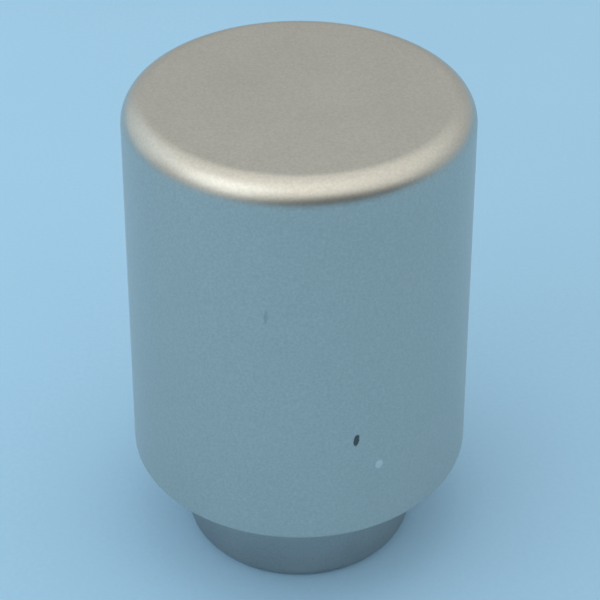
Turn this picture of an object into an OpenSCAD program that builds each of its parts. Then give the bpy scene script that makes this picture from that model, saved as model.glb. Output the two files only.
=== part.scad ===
// Push-on selector knob: a drafted cap snapped over a hub that has a collar and a socket for a D-shaft.
// The shaft axis is Z, the foot of the collar stands at z = 0, and the shaft's flat faces +X.

/* [Cap] */
// Outer diameter of the cap at its lower rim
cap_d = 20; // [18:0.5:28]
// Height of the cap from its rim to its top
cap_h = 23; // [18:0.5:32]
// Draft of the cap's side, in degrees
cap_draft = 1.25; // [0.5:0.25:2]
// Radius of the rounded top edge
top_round = 1.4; // [0.6:0.1:2]
// Radius of the small round on the rim's outer edge
rim_round = 0.25; // [0.1:0.05:0.4]
// Thickness of the cap's side wall
cap_wall = 1.6; // [1.2:0.1:2]
// Thickness of the cap's top wall
top_wall = 2; // [1.4:0.1:3]
// Radius of the corner inside, between the side wall and the top wall
inner_round = 0.8; // [0.3:0.1:1.5]
// Width of the ledge in the cap's mouth that the flange seats against
ledge_w = 0.5; // [0.3:0.05:0.7]

/* [Collar] */
// Outer diameter of the collar
collar_d = 13.8; // [12:0.2:15]
// Height of the collar that shows below the cap's rim
collar_h = 6.2; // [4:0.1:10]
// Thickness of the collar's wall
collar_wall = 1.3; // [1:0.1:1.8]
// Radius of the round on the collar's foot
foot_round = 0.6; // [0.2:0.1:0.9]

/* [Flange] */
// Thickness of the flange that closes the cap's mouth
flange_t = 1.5; // [1.2:0.1:2.5]
// Depth of the flange's underside above the cap's rim
flange_recess = 0.6; // [0.3:0.1:1.5]
// Radial clearance of the flange in the cap's mouth
flange_gap = 0.05; // [0.02:0.01:0.1]
// Height of the snap bead round the flange
bead_h = 0.2; // [0.15:0.05:0.3]
// Radial clearance of the snap bead in its groove
bead_gap = 0.08; // [0.04:0.02:0.12]

/* [Shaft socket] */
// Diameter of the switch shaft
shaft_d = 6; // [5:0.1:6.5]
// Thickness of the shaft across its flat
shaft_across_flat = 4.5; // [4:0.1:5]
// Radial clearance of the shaft in the D-shaped grip
shaft_gap = 0.02; // [0.01:0.01:0.03]
// Radial clearance of the shaft in the round lead-in
lead_gap = 0.25; // [0.2:0.05:0.4]
// Clearance of the shaft's flat from the socket's flat
flat_gap = 0.05; // [0.02:0.01:0.1]
// Length of the round lead-in at the socket's mouth
lead_len = 4; // [3:0.5:6]
// Length of the D-shaped grip above the lead-in
grip_len = 9; // [8.5:0.5:11]
// Thickness of the socket's wall
socket_wall = 1.5; // [1.2:0.1:2]
// Chamfer at the socket's mouth
mouth_chamfer = 0.5; // [0.2:0.1:0.8]

/* [Ribs] */
// Number of ribs that key the hub to the cap
rib_count = 4; // [3:1:6]
// Thickness of a rib
rib_t = 1.2; // [0.8:0.1:1.6]
// Height of a rib above the flange
rib_h = 8; // [5:0.5:10]
// Chamfer at a rib's upper outer corner
rib_chamfer = 1; // [0.5:0.1:1.5]
// Clearance of a rib from the cap's wall and rails
rib_gap = 0.1; // [0.05:0.05:0.2]
// Thickness of a rail beside a rib
rail_t = 0.8; // [0.6:0.1:1.2]
// How far a rail stands in from the cap's wall
rail_reach = 1.2; // [0.8:0.1:1.6]

/* [Clip] */
// Thickness of the spring leaf
clip_t = 0.3; // [0.2:0.05:0.4]
// Width of the spring leaf
clip_w = 3.2; // [2.4:0.2:3.6]
// Length of the bowed stretch of the leaf
clip_len = 7; // [5:0.5:7.5]
// How far the bow stands into the shaft's place
clip_squeeze = 0.1; // [0.05:0.05:0.2]
// Inner radius of the bend between the leaf and its tab
clip_bend = 0.3; // [0.2:0.05:0.4]
// Length of the straight tab that hangs on the hub
clip_tab = 0.9; // [0.6:0.1:1.2]
// Clearance of the leaf in its pocket
clip_gap = 0.05; // [0.02:0.01:0.1]
// Depth of the pocket behind the socket's flat
pocket_depth = 0.9; // [0.8:0.05:1.2]

/* [Hidden] */
$fn = 96;
// Straight steps in each rounded corner of an outline
arc_steps = 12;
// Depth to which a joined feature is rooted in its wall, and by which a cut runs past a face
root = 0.4;

// Levels along the shaft axis, from the foot upwards
rim_z = collar_h;
flange_z = rim_z + flange_recess;
bead_z = flange_z + flange_t / 2;
ledge_z = flange_z + flange_t;
lead_z = flange_z + lead_len;
hub_z = lead_z + grip_len;
top_z = rim_z + cap_h;
roof_z = top_z - top_wall;

// Radii of the hub and of the cap's mouth
collar_r = collar_d / 2;
recess_r = collar_r - collar_wall;
bore_r = shaft_d / 2 + shaft_gap;
lead_r = shaft_d / 2 + lead_gap;
socket_r = bore_r + socket_wall;
mouth_r = cap_d / 2 - cap_wall + ledge_w;
flange_r = mouth_r - flange_gap;
groove_h = bead_h - flange_gap + bead_gap;

// The shaft's flat, the socket's flat and the back of the clip's pocket, as distances from the axis
shaft_flat_x = shaft_across_flat - shaft_d / 2;
flat_x = shaft_flat_x + flat_gap;
pocket_x = flat_x + pocket_depth;
pocket_w = clip_w + 2 * clip_gap;

// The leaf's centre line: a bow, a bend tangent to it, and the tab
clip_mid_bend = clip_bend + clip_t / 2;
notch_z = hub_z - clip_t - clip_gap;
bow_end_x = pocket_x - clip_t / 2 - clip_gap;
bow_depth = bow_end_x - (shaft_flat_x - clip_squeeze + clip_t / 2);
bow_angle = 2 * atan(2 * bow_depth / clip_len);
bow_r = clip_len / 2 / sin(bow_angle);
bend_centre = [bow_end_x + clip_mid_bend * cos(bow_angle), notch_z - clip_bend];
bow_end_z = bend_centre[1] + clip_mid_bend * sin(bow_angle);
bow_centre = [bow_end_x + bow_r * cos(bow_angle), bow_end_z - clip_len / 2];
pocket_z = bow_end_z - clip_len - clip_t;
// Chamfer on the pocket's back edge, which the bend wraps round
pocket_chamfer = clip_bend;

// Radius of the cap's outer side at a height
function side_r(z) = cap_d / 2 - (z - rim_z) * tan(cap_draft);

// Radius of the cap's inner side at a height
function cavity_r(z) = side_r(z) - cap_wall / cos(cap_draft);

// Points of an arc about a centre, from one angle to another
function arc(centre, r, from, to) =
    [for (i = [0 : arc_steps]) let (a = from + (to - from) * i / arc_steps) centre + r * [cos(a), sin(a)]];

// Centre of a round of radius r that touches a drafted side of radius side at height z
function round_centre(side, z, r) = [side - r / cos(cap_draft), z];

// Angle of each rib about the axis, which keeps the clip's side of the hub free
function rib_angle(i) = 360 * (i + 0.5) / rib_count;

// Half outline of the cap: rim, side, top edge, roof, ledge and snap groove
module cap_outline() {
    rim_arc_z = rim_z + rim_round;
    top_arc_z = top_z - top_round;
    roof_arc_z = roof_z - inner_round;
    polygon(concat(
        [[mouth_r, rim_z]],
        arc(round_centre(side_r(rim_arc_z), rim_arc_z, rim_round), rim_round, -90, cap_draft),
        arc(round_centre(side_r(top_arc_z), top_arc_z, top_round), top_round, cap_draft, 90),
        [[0, top_z], [0, roof_z]],
        arc(round_centre(cavity_r(roof_arc_z), roof_arc_z, inner_round), inner_round, 90, cap_draft),
        [[cavity_r(ledge_z), ledge_z], [mouth_r, ledge_z]],
        [[mouth_r, bead_z + groove_h], [mouth_r + groove_h, bead_z], [mouth_r, bead_z - groove_h]]
    ));
}

// Two rails on the cap's wall that take one rib between them
module rail_pair() {
    inner_r = cavity_r(roof_z) - rail_reach;
    outer_r = cavity_r(roof_z) + cap_wall / 2;
    start_z = ledge_z + rail_reach;
    for (side = [0, 1])
        mirror([0, side, 0])
            translate([inner_r, rib_t / 2 + rib_gap, start_z])
                cube([outer_r - inner_r, rail_t, roof_z + root - start_z]);
}

// Moulded cap: shell with a snap groove and a ledge in its mouth, and rails for the hub's ribs
module knob_cap() {
    color("silver") {
        rotate_extrude() cap_outline();
        for (i = [0 : rib_count - 1])
            rotate([0, 0, rib_angle(i)]) rail_pair();
    }
}

// Half outline of the hub: collar, flange with its snap bead, and the socket's tube
module hub_outline() {
    polygon(concat(
        [[recess_r, 0]],
        arc([collar_r - foot_round, foot_round], foot_round, -90, 0),
        [[collar_r, flange_z], [flange_r, flange_z]],
        [[flange_r, bead_z - bead_h], [flange_r + bead_h, bead_z], [flange_r, bead_z + bead_h]],
        [[flange_r, ledge_z], [socket_r, ledge_z], [socket_r, hub_z], [bore_r, hub_z]],
        [[bore_r, lead_z], [lead_r, lead_z]],
        [[lead_r, flange_z + mouth_chamfer], [lead_r + mouth_chamfer, flange_z], [recess_r, flange_z]]
    ));
}

// Solid segment that makes the upper bore D-shaped
module socket_flat() {
    intersection() {
        translate([0, 0, lead_z]) cylinder(r = socket_r - root, h = grip_len);
        translate([flat_x, -socket_r, lead_z]) cube([socket_r, 2 * socket_r, grip_len]);
    }
}

// One rib, which stands on the flange and follows the cap's draft
module rib() {
    rib_z = ledge_z + rib_h;
    rotate([90, 0, 0])
        linear_extrude(rib_t, center = true)
            polygon([
                [socket_r - root, ledge_z - root],
                [cavity_r(ledge_z) - rib_gap, ledge_z - root],
                [cavity_r(ledge_z) - rib_gap, ledge_z],
                [cavity_r(rib_z - rib_chamfer) - rib_gap, rib_z - rib_chamfer],
                [cavity_r(rib_z) - rib_gap - rib_chamfer, rib_z],
                [socket_r - root, rib_z]
            ]);
}

// Room for the clip: a pocket behind the flat, a notch for the tab, and a chamfer between them
module clip_pocket() {
    notch_end_x = bend_centre[0] + clip_tab + clip_gap;
    rotate([90, 0, 0])
        linear_extrude(pocket_w, center = true)
            polygon([
                [flat_x - root, pocket_z],
                [pocket_x, pocket_z],
                [pocket_x, notch_z - pocket_chamfer],
                [pocket_x + pocket_chamfer, notch_z],
                [notch_end_x, notch_z],
                [notch_end_x, hub_z + root],
                [flat_x - root, hub_z + root]
            ]);
}

// Moulded hub: collar and flange below, the ribbed socket above
module hub_insert() {
    color("slategray")
        difference() {
            union() {
                rotate_extrude() hub_outline();
                socket_flat();
                for (i = [0 : rib_count - 1])
                    rotate([0, 0, rib_angle(i)]) rib();
            }
            clip_pocket();
        }
}

// Bent spring leaf: its bow presses on the shaft's flat and its tab lies in the hub's notch
module shaft_clip() {
    half = clip_t / 2;
    tab_end_x = bend_centre[0] + clip_tab;
    color("gainsboro")
        rotate([90, 0, 0])
            linear_extrude(clip_w, center = true)
                polygon(concat(
                    arc(bow_centre, bow_r + half, 180 + bow_angle, 180 - bow_angle),
                    arc(bend_centre, clip_mid_bend + half, 180 - bow_angle, 90),
                    [[tab_end_x, notch_z + clip_t], [tab_end_x, notch_z]],
                    arc(bend_centre, clip_mid_bend - half, 90, 180 - bow_angle),
                    arc(bow_centre, bow_r - half, 180 - bow_angle, 180 + bow_angle)
                ));
}

knob_cap();
hub_insert();
shaft_clip();
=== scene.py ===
import math

import bmesh
import bpy
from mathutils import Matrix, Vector


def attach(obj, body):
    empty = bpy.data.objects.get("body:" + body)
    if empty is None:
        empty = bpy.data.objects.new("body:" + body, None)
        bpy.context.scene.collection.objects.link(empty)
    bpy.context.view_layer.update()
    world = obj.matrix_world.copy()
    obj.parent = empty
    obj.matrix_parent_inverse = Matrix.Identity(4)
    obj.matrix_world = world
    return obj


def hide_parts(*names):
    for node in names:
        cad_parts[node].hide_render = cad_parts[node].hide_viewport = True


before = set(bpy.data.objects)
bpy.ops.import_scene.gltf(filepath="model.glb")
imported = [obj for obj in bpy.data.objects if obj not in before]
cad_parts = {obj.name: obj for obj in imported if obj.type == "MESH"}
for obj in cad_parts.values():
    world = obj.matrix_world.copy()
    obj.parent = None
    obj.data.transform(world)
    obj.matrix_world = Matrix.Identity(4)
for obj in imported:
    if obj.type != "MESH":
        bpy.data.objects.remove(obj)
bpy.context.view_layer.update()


# Hub insert: one moulding of silver-grey plastic, with the collar that shows below the cap, the flange that
# closes the cap's mouth and the ribbed socket for the shaft. It comes out of a spark-eroded mould with a fine
# matt grain, and snaps into the cap by the bead round its flange.
HUB_GREY = (0.42, 0.425, 0.42)
HUB_GRAIN, HUB_PATCHES = 9000, 260
HUB_SPECKLE, HUB_DRIFT = (0.92, 1.08), (0.95, 1.05)
HUB_ROUGHNESS = (0.36, 0.44)
HUB_RELIEF, HUB_RELIEF_DEPTH = 0.5, 0.000004


def place(tree, kind, inputs=None, **settings):
    """Adds a node to a tree, with its settings, and sets its sockets to a value or joins them to an output."""
    made = tree.nodes.new(kind)
    for name, value in settings.items():
        setattr(made, name, value)
    for name, value in (inputs or {}).items():
        if isinstance(value, bpy.types.NodeSocket):
            tree.links.new(value, made.inputs[name])
        else:
            made.inputs[name].default_value = value
    return made


def new_group(name, inputs, outputs):
    """An empty node group with its named sockets, and the outputs of its input node."""
    tree = bpy.data.node_groups.new(name, "ShaderNodeTree")
    for socket, kind in inputs.items():
        tree.interface.new_socket(socket, in_out="INPUT", socket_type=kind)
    for socket, kind in outputs.items():
        tree.interface.new_socket(socket, in_out="OUTPUT", socket_type=kind)
    return tree, place(tree, "NodeGroupInput").outputs


def fine_grain():
    """Node group: the fine speckle of a surface and the slow drift of its finish, both from 0 to 1."""
    number = "NodeSocketFloat"
    tree, given = new_group("fine_grain", {"Fineness": number, "Patches": number},
                            {"Speckle": number, "Drift": number})
    where = place(tree, "ShaderNodeTexCoord").outputs["Object"]
    speckle = place(tree, "ShaderNodeTexNoise", {"Vector": where, "Scale": given["Fineness"], "Detail": 2.0})
    drift = place(tree, "ShaderNodeTexNoise", {"Vector": where, "Scale": given["Patches"], "Detail": 3.0})
    place(tree, "NodeGroupOutput", {"Speckle": speckle.outputs["Fac"], "Drift": drift.outputs["Fac"]})
    return tree


GRAIN = fine_grain()


def grained(tree, fineness, patches):
    """The speckle and the drift of one surface."""
    grain = place(tree, "ShaderNodeGroup", {"Fineness": fineness, "Patches": patches}, node_tree=GRAIN)
    return grain.outputs["Speckle"], grain.outputs["Drift"]


def ranged(tree, value, low, high):
    """Spreads the middle of a noise value over a range."""
    spread = {"Value": value, "From Min": 0.3, "From Max": 0.7, "To Min": low, "To Max": high}
    return place(tree, "ShaderNodeMapRange", spread).outputs["Result"]


def product(tree, one, two):
    """Two values multiplied."""
    return place(tree, "ShaderNodeMath", {0: one, 1: two}, operation="MULTIPLY").outputs["Value"]


def shaded(tree, colour, amount):
    """A colour made lighter or darker by a value."""
    scaled = place(tree, "ShaderNodeVectorMath", {0: colour, "Scale": amount}, operation="SCALE")
    return scaled.outputs["Vector"]


def raised(tree, height, strength, depth):
    """The normal of a surface with a fine relief, its depth in metres."""
    relief = place(tree, "ShaderNodeBump", {"Height": height, "Strength": strength, "Distance": depth})
    return relief.outputs["Normal"]


def new_finish(name):
    """A new material, its tree and its shader."""
    material = bpy.data.materials.new(name)
    material.use_nodes = True
    return material, material.node_tree, material.node_tree.nodes["Principled BSDF"]


hub_finish, tree, shader = new_finish("moulded_grey_plastic")
speckle, drift = grained(tree, HUB_GRAIN, HUB_PATCHES)
shade = product(tree, ranged(tree, speckle, *HUB_SPECKLE), ranged(tree, drift, *HUB_DRIFT))
tree.links.new(shaded(tree, HUB_GREY, shade), shader.inputs["Base Color"])
tree.links.new(ranged(tree, drift, *HUB_ROUGHNESS), shader.inputs["Roughness"])
tree.links.new(raised(tree, speckle, HUB_RELIEF, HUB_RELIEF_DEPTH), shader.inputs["Normal"])
shader.inputs["Metallic"].default_value = 1.0
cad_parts["hub_insert"].material_slots[0].material = hub_finish


# Shaft clip: a leaf of rolled spring steel, blanked from strip and bent to a bow with a short tab. It is
# pushed into the pocket beside the socket's flat, where its tab hangs in the notch. It carries the streaks
# of rolling.
STEEL = (0.56, 0.55, 0.53)
STREAKS = (900, 9000, 220)
STEEL_SHADE, STEEL_ROUGHNESS = (0.88, 1.1), (0.2, 0.36)
STREAK_RELIEF, STREAK_DEPTH = 0.4, 0.000004

steel_finish, tree, shader = new_finish("rolled_spring_steel")
where = place(tree, "ShaderNodeTexCoord").outputs["Object"]
along = place(tree, "ShaderNodeMapping", {"Vector": where, "Scale": STREAKS}).outputs["Vector"]
streak = place(tree, "ShaderNodeTexNoise", {"Vector": along, "Scale": 1.0, "Detail": 3.0}).outputs["Fac"]
tree.links.new(shaded(tree, STEEL, ranged(tree, streak, *STEEL_SHADE)), shader.inputs["Base Color"])
tree.links.new(ranged(tree, streak, *STEEL_ROUGHNESS), shader.inputs["Roughness"])
tree.links.new(raised(tree, streak, STREAK_RELIEF, STREAK_DEPTH), shader.inputs["Normal"])
shader.inputs["Metallic"].default_value = 1.0
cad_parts["shaft_clip"].material_slots[0].material = steel_finish


# Knob cap: a moulded plastic shell with a slight draft, a round top edge and a crisp rim, sprayed with satin
# silver lacquer. Inside are a ledge and a groove for the hub's flange, and pairs of rails for its ribs. Its
# side has a chip where the lacquer is worn thin over dark plastic, a speck caught in the lacquer and a scuff.
MM = 0.001
RIM_Z, BEAD_Z, LEDGE_Z, RAIL_Z, ROOF_Z, TOP_Z = 6.2, 7.55, 8.3, 9.5, 27.2, 29.2
RIM_R, MOUTH_R, GROOVE = 10.0, 8.9, 0.23
WALL, DRAFT = 1.6, math.radians(1.25)
INNER_ROUND, RIM_ROUND, TOP_ROUND = 0.8, 0.25, 1.4
SMALL_ROUND_STEPS, TOP_ROUND_STEPS = 8, 28
TURNS, ROW = 288, 0.4
RIB_COUNT, RAIL_REACH, RAIL_FROM, RAIL_TO = 4, 1.2, 5.0, 11.25
ON_WALL, SHARP_EDGE = 0.01, math.radians(30)
# Each mark: degrees round from the front, height, half width and half height in mm, and lean in degrees
CHIP = {"around": 18.45, "height": 13.0, "half_w": 0.17, "half_h": 0.4, "lean": 8.0}
SPECK = {"around": 26.5, "height": 10.87, "half_w": 0.24, "half_h": 0.28, "lean": 0.0}
SCUFF = {"around": -10.1, "height": 21.46, "half_w": 0.1, "half_h": 0.45, "lean": 3.0}
# How deep each mark is in mm, negative where it stands proud, and the share of its half width that slopes
CHIP_PRESS = {"depth": 0.03, "slope": 0.5}
SPECK_PRESS = {"depth": -0.035, "slope": 1.0}
SCUFF_PRESS = {"depth": 0.02, "slope": 0.8}
MARK_CUTS, MARK_MARGIN, MASK_DEPTH = 6, (0.3, 0.4), 2
# The waves round the edge of a mark: how many, how high and where they start
RAGGED_EDGE = ((3, 0.14, 0.7), (5, 0.08, 2.0))
LACQUER = (0.53, 0.535, 0.505)
FLAKES, LACQUER_PATCHES = 7000, 300
FLAKE_SPECKLE, LACQUER_DRIFT = (0.93, 1.07), (0.99, 1.01)
LACQUER_ROUGHNESS = (0.33, 0.37)
FLAKE_RELIEF, FLAKE_DEPTH = 0.4, 0.000003
WORN_LACQUER, WORN_METALLIC, WORN_ROUGHNESS = (0.11, 0.125, 0.13, 1), 0.95, 0.42
SPECK_GREY, SPECK_METALLIC = (0.66, 0.66, 0.65, 1), 0.85
SCUFF_SHADE = 0.82


def side_r(z):
    """Radius of the cap's outer side at a height."""
    return RIM_R - (z - RIM_Z) * math.tan(DRAFT)


def inner_r(z):
    """Radius of the cap's inner side at a height."""
    return side_r(z) - WALL / math.cos(DRAFT)


def round_corner(bm, corner, radius, segments):
    """Rounds one corner of an outline by an arc of the radius."""
    one, two = [edge.other_vert(corner).co - corner.co for edge in corner.link_edges]
    reach = radius * MM / math.tan(one.angle(two) / 2)
    bmesh.ops.bevel(bm, geom=[corner], offset=reach, offset_type="ABSOLUTE", segments=segments, profile=0.5,
                    affect="VERTICES", material=-1)


def far_from_axis(point):
    """Distance of a point from the knob's axis, in mm."""
    return math.hypot(point.x, point.y) / MM


def press_mark(bm, around, height, half_w, half_h, lean, depth, slope):
    """Makes the side's mesh finer at a mark and presses the mark in, or raises it if its depth is negative."""
    def offset(point):
        turned = math.degrees(math.atan2(point.x, -point.y))
        return math.radians(turned - around) * side_r(height), point.z / MM - height

    patch = []
    for face in bm.faces:
        middle = face.calc_center_median()
        across, up = offset(middle)
        on_side = abs(far_from_axis(middle) - side_r(middle.z / MM)) < ON_WALL
        if on_side and abs(across) < half_w + MARK_MARGIN[0] and abs(up) < half_h + MARK_MARGIN[1]:
            patch.append(face)
    edges = list({edge for face in patch for edge in face.edges})
    cut = bmesh.ops.subdivide_edges(bm, edges=edges, cuts=MARK_CUTS, use_grid_fill=True)
    finer = [part for part in cut["geom"] if isinstance(part, bmesh.types.BMFace)]
    for vert in {vert for face in finer for vert in face.verts}:
        across, up = offset(vert.co)
        across -= up * math.tan(math.radians(lean))
        angle = math.atan2(up / half_h, across / half_w)
        edge_at = 1 + sum(high * math.sin(waves * angle + start) for waves, high, start in RAGGED_EDGE)
        inside = 1 - math.hypot(across / half_w, up / half_h) / edge_at
        sunk = depth * min(1, max(0, inside / slope))
        vert.co.xy = vert.co.xy.normalized() * (side_r(vert.co.z / MM) - sunk) * MM


# Half of the cap's section, from the roof's underside down the inside, round the rim and up the outside
outline = {
    "roof middle": (0, ROOF_Z),
    "roof corner": (inner_r(ROOF_Z), ROOF_Z),
    "rail foot": (inner_r(RAIL_Z), RAIL_Z),
    "ledge back": (inner_r(LEDGE_Z), LEDGE_Z),
    "ledge edge": (MOUTH_R, LEDGE_Z),
    "groove top": (MOUTH_R, BEAD_Z + GROOVE),
    "groove floor": (MOUTH_R + GROOVE, BEAD_Z),
    "groove foot": (MOUTH_R, BEAD_Z - GROOVE),
    "mouth": (MOUTH_R, RIM_Z),
    "rim": (RIM_R, RIM_Z),
    "top edge": (side_r(TOP_Z), TOP_Z),
    "top middle": (0, TOP_Z),
}
cap = bmesh.new()
corner = {name: cap.verts.new((r * MM, 0, z * MM)) for name, (r, z) in outline.items()}
section = list(corner.values())
for pair in zip(section, section[1:]):
    cap.edges.new(pair)
round_corner(cap, corner["roof corner"], INNER_ROUND, SMALL_ROUND_STEPS)
round_corner(cap, corner["rim"], RIM_ROUND, SMALL_ROUND_STEPS)
round_corner(cap, corner["top edge"], TOP_ROUND, TOP_ROUND_STEPS)

# The outer side and the top get short rows, so that the marks have a mesh to be pressed into
for edge in list(cap.edges):
    on_outside = min(v.co.x / MM - inner_r(v.co.z / MM) for v in edge.verts) > WALL / 2
    on_top = min(v.co.z for v in edge.verts) > (ROOF_Z + TOP_Z) / 2 * MM
    cuts = round(edge.calc_length() / (ROW * MM)) - 1
    if (on_outside or on_top) and cuts > 0:
        bmesh.ops.subdivide_edges(cap, edges=[edge], cuts=cuts)
bmesh.ops.spin(cap, geom=cap.verts[:] + cap.edges[:], cent=(0, 0, 0), axis=(0, 0, 1), angle=math.tau,
               steps=TURNS, use_merge=True)
bmesh.ops.remove_doubles(cap, verts=cap.verts[:], dist=0.001 * MM)
bmesh.ops.recalc_face_normals(cap, faces=cap.faces[:])

# A rail stands on each side of every rib, grown inward from the wall's own faces
for rib in range(RIB_COUNT):
    middle = 360 * (rib + 0.5) / RIB_COUNT
    inward = Vector((-math.cos(math.radians(middle)), -math.sin(math.radians(middle)), 0))
    for hand in (-1, 1):
        rail = []
        for face in cap.faces:
            centre = face.calc_center_median()
            turned = (math.degrees(math.atan2(centre.y, centre.x)) - middle + 180) % 360 - 180
            on_wall = abs(far_from_axis(centre) - inner_r(centre.z / MM)) < ON_WALL
            if on_wall and centre.z > RAIL_Z * MM and RAIL_FROM < turned * hand < RAIL_TO:
                rail.append(face)
        grown = bmesh.ops.extrude_face_region(cap, geom=rail)
        moved = [part for part in grown["geom"] if isinstance(part, bmesh.types.BMVert)]
        bmesh.ops.translate(cap, verts=moved, vec=inward * RAIL_REACH * MM)
        bmesh.ops.delete(cap, geom=rail, context="FACES")

for spot, press in ((CHIP, CHIP_PRESS), (SPECK, SPECK_PRESS), (SCUFF, SCUFF_PRESS)):
    press_mark(cap, **spot, **press)
bmesh.ops.recalc_face_normals(cap, faces=cap.faces[:])
for face in cap.faces:
    face.smooth = True
cap_mesh = bpy.data.meshes.new("lacquered_cap")
cap.to_mesh(cap_mesh)
cap.free()
cap_mesh.set_sharp_from_angle(angle=SHARP_EDGE)
cap_piece = bpy.data.objects.new("lacquered_cap", cap_mesh)
bpy.context.scene.collection.objects.link(cap_piece)


def mark_mask():
    """Node group: 1 inside a small oval mark on the cap's side, 0 outside it, with a ragged edge."""
    number, vector = "NodeSocketFloat", "NodeSocketVector"
    tree, given = new_group("mark_mask", {"Centre": vector, "Turn": vector, "Size": vector}, {"Mask": number})
    where = place(tree, "ShaderNodeTexCoord").outputs["Object"]
    oval = {"Vector": where, "Location": given["Centre"], "Rotation": given["Turn"], "Scale": given["Size"]}
    local = place(tree, "ShaderNodeMapping", oval, vector_type="TEXTURE").outputs["Vector"]
    ragged = place(tree, "ShaderNodeTexNoise", {"Vector": local, "Scale": 2.2, "Detail": 2.0}).outputs["Fac"]
    far = place(tree, "ShaderNodeVectorMath", {0: local}, operation="LENGTH").outputs["Value"]
    edge = place(tree, "ShaderNodeMath", {0: ragged, 1: 0.5, 2: far}, operation="MULTIPLY_ADD")
    fade = {"Value": edge.outputs["Value"], "From Min": 1.35, "From Max": 1.1}
    mask = place(tree, "ShaderNodeMapRange", fade)
    place(tree, "NodeGroupOutput", {"Mask": mask.outputs["Result"]})
    return tree


MARK = mark_mask()


def masked(tree, around, height, half_w, half_h, lean):
    """The mask of one mark on the cap's side."""
    turn = math.radians(around)
    radius = side_r(height) * MM
    return place(tree, "ShaderNodeGroup", {
        "Centre": (math.sin(turn) * radius, -math.cos(turn) * radius, height * MM),
        "Turn": (0, math.radians(lean), turn),
        "Size": (half_w * MM, MASK_DEPTH * MM, half_h * MM),
    }, node_tree=MARK).outputs["Mask"]


def blended(tree, amount, one, two):
    """One value turning into another as the amount goes from 0 to 1."""
    return place(tree, "ShaderNodeMix", {"Factor": amount, "A": one, "B": two}).outputs["Result"]


def tinted(tree, amount, one, two):
    """One colour turning into another as the amount goes from 0 to 1."""
    # The mix node has a set of sockets for each kind of data, and those of colours are found by number
    return place(tree, "ShaderNodeMix", {0: amount, 6: one, 7: two}, data_type="RGBA").outputs[2]


lacquer, tree, shader = new_finish("satin_silver_lacquer")
speckle, drift = grained(tree, FLAKES, LACQUER_PATCHES)
chip, speck, scuff = [masked(tree, **spot) for spot in (CHIP, SPECK, SCUFF)]
shade = product(tree, ranged(tree, speckle, *FLAKE_SPECKLE), ranged(tree, drift, *LACQUER_DRIFT))
shade = product(tree, shade, blended(tree, scuff, 1.0, SCUFF_SHADE))
silver = tinted(tree, speck, shaded(tree, LACQUER, shade), SPECK_GREY)
tree.links.new(tinted(tree, chip, silver, WORN_LACQUER), shader.inputs["Base Color"])
metallic = blended(tree, speck, 1.0, SPECK_METALLIC)
tree.links.new(blended(tree, chip, metallic, WORN_METALLIC), shader.inputs["Metallic"])
roughness = ranged(tree, drift, *LACQUER_ROUGHNESS)
tree.links.new(blended(tree, chip, roughness, WORN_ROUGHNESS), shader.inputs["Roughness"])
tree.links.new(raised(tree, speckle, FLAKE_RELIEF, FLAKE_DEPTH), shader.inputs["Normal"])
cap_mesh.materials.append(lacquer)
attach(cap_piece, "root")
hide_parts("knob_cap")


# Floor: a large plain board of pale blue card with a faint grain, lying flat. The knob stands on it on the
# foot of its collar, and the silver side mirrors it.
FLOOR_BLUE = (0.31, 0.55, 0.79)
FLOOR_HALF, FLOOR_DROP = 1.5, 0.01
CARD_GRAIN, CARD_PATCHES = 3000, 60
CARD_SPECKLE, CARD_DRIFT = (0.985, 1.015), (0.99, 1.01)
CARD_ROUGHNESS, CARD_SHINE = 0.9, 0.2

card = bmesh.new()
bmesh.ops.create_grid(card, x_segments=1, y_segments=1, size=FLOOR_HALF)
bmesh.ops.translate(card, verts=card.verts[:], vec=(0, 0, -FLOOR_DROP * MM))
floor_mesh = bpy.data.meshes.new("floor")
card.to_mesh(floor_mesh)
card.free()
floor = bpy.data.objects.new("floor", floor_mesh)
bpy.context.scene.collection.objects.link(floor)
card_finish, tree, shader = new_finish("blue_card")
speckle, drift = grained(tree, CARD_GRAIN, CARD_PATCHES)
shade = product(tree, ranged(tree, speckle, *CARD_SPECKLE), ranged(tree, drift, *CARD_DRIFT))
tree.links.new(shaded(tree, FLOOR_BLUE, shade), shader.inputs["Base Color"])
shader.inputs["Roughness"].default_value = CARD_ROUGHNESS
shader.inputs["Specular IOR Level"].default_value = CARD_SHINE
floor_mesh.materials.append(card_finish)


# Studio light: a wide soft ceiling that is brightest overhead, a cool soft box behind the knob at the left, a
# soft box at the left in front and a weak warm one behind at the right. The room is dark low down at the
# front, so the side shows the floor that the knob stands on.
LIGHT_FAR, LIGHT_AIM = 0.12, (0, 0, 0.015)
# Each soft box: direction from the knob, width and height in metres, power and colour
LEFT_BACK = ((-0.78, 0.415, 0.469), (0.1, 0.1), 0.010, (0.80, 0.98, 1.08))
LEFT_FRONT = ((-0.555, -0.418, 0.719), (0.08, 0.08), 0.0155, (0.96, 1.0, 1.0))
RIGHT_BACK = ((0.765, 0.441, 0.469), (0.1, 0.1), 0.003, (1.0, 0.93, 0.82))
CEILING_MIDDLE = (0.0, -0.35, 0.937)
# The ceiling's colour by how far a direction is from its middle: 0 at a right angle to it, 1 at the middle
CEILING = (
    (0.0, (0.5, 0.5, 0.48)),
    (0.27, (0.64, 0.64, 0.615)),
    (0.42, (0.84, 0.82, 0.76)),
    (0.56, (1.08, 1.03, 0.94)),
    (0.84, (1.19, 1.13, 1.03)),
    (0.94, (1.4, 1.33, 1.21)),
    (1.0, (1.46, 1.39, 1.26)),
)
DARK_FRONT = (0.295, -0.786, -0.54)
DARK_FROM, DARK_TO, DARK_LEAST = 0.29, 0.54, 0.13


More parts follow.
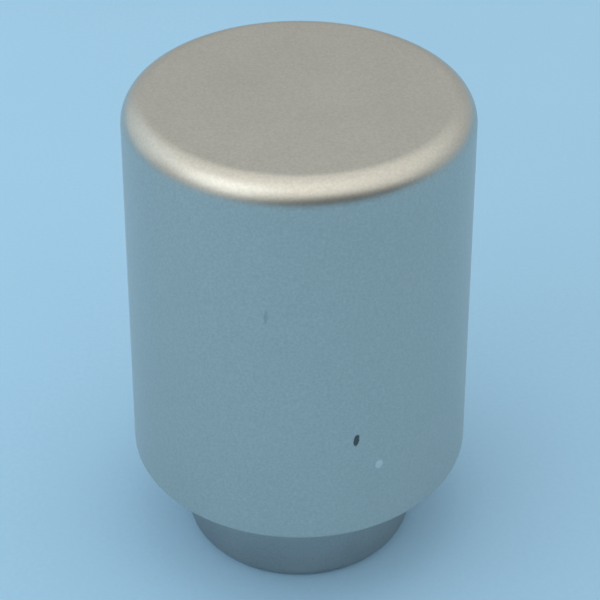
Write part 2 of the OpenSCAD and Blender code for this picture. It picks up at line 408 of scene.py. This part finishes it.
def add_light(name, towards, size, power, colour):
    """A flat soft box at the studio's distance, aimed at the middle of the knob."""
    light = bpy.data.lights.new(name, "AREA")
    light.shape = "RECTANGLE"
    light.size, light.size_y = size
    light.energy, light.color = power, colour
    box = bpy.data.objects.new(name, light)
    direction = Vector(towards).normalized()
    box.location = Vector(LIGHT_AIM) + direction * LIGHT_FAR
    box.rotation_euler = direction.to_track_quat("Z", "Y").to_euler()
    box.visible_camera = False
    bpy.context.scene.collection.objects.link(box)


add_light("left_back", *LEFT_BACK)
add_light("left_front", *LEFT_FRONT)
add_light("right_back", *RIGHT_BACK)

room = bpy.data.worlds.new("room")
room.use_nodes = True
tree = room.node_tree
towards = place(tree, "ShaderNodeTexCoord").outputs["Generated"]
overhead = place(tree, "ShaderNodeVectorMath", {0: towards, 1: CEILING_MIDDLE}, operation="DOT_PRODUCT")
sky = place(tree, "ShaderNodeValToRGB", {"Fac": overhead.outputs["Value"]})
stops = sky.color_ramp.elements
while len(stops) < len(CEILING):
    stops.new(0.5)
for stop, (at, colour) in zip(stops, CEILING):
    stop.position = at
    stop.color = (*colour, 1)
front = place(tree, "ShaderNodeVectorMath", {0: towards, 1: DARK_FRONT}, operation="DOT_PRODUCT")
dimmed = {"From Min": DARK_TO, "From Max": DARK_FROM, "To Min": DARK_LEAST, "Value": front.outputs["Value"]}
lit = place(tree, "ShaderNodeMapRange", dimmed)
room_colour = shaded(tree, sky.outputs["Color"], lit.outputs["Result"])
tree.links.new(room_colour, tree.nodes["Background"].inputs["Color"])
bpy.context.scene.world = room


# Camera: straight in front of the knob, looking down on it by 36 degrees through a long lens, and aimed just
# above the middle of its height, so that the knob fills the frame.
CAMERA_AIM, CAMERA_FAR = (0.000055, 0, 0.015618), 0.09609
CAMERA_DOWN = math.radians(36.05)
LENS, SENSOR, NEAREST = 99.7, 36, 0.005

camera_data = bpy.data.cameras.new("camera")
camera_data.lens = LENS
camera_data.sensor_width = SENSOR
camera_data.clip_start = NEAREST
camera = bpy.data.objects.new("camera", camera_data)
camera.location = Vector(CAMERA_AIM) + Vector((0, -math.cos(CAMERA_DOWN), math.sin(CAMERA_DOWN))) * CAMERA_FAR
camera.rotation_euler = (math.pi / 2 - CAMERA_DOWN, 0, 0)
bpy.context.scene.collection.objects.link(camera)
bpy.context.scene.camera = camera
bpy.context.scene.view_settings.view_transform = "Standard"
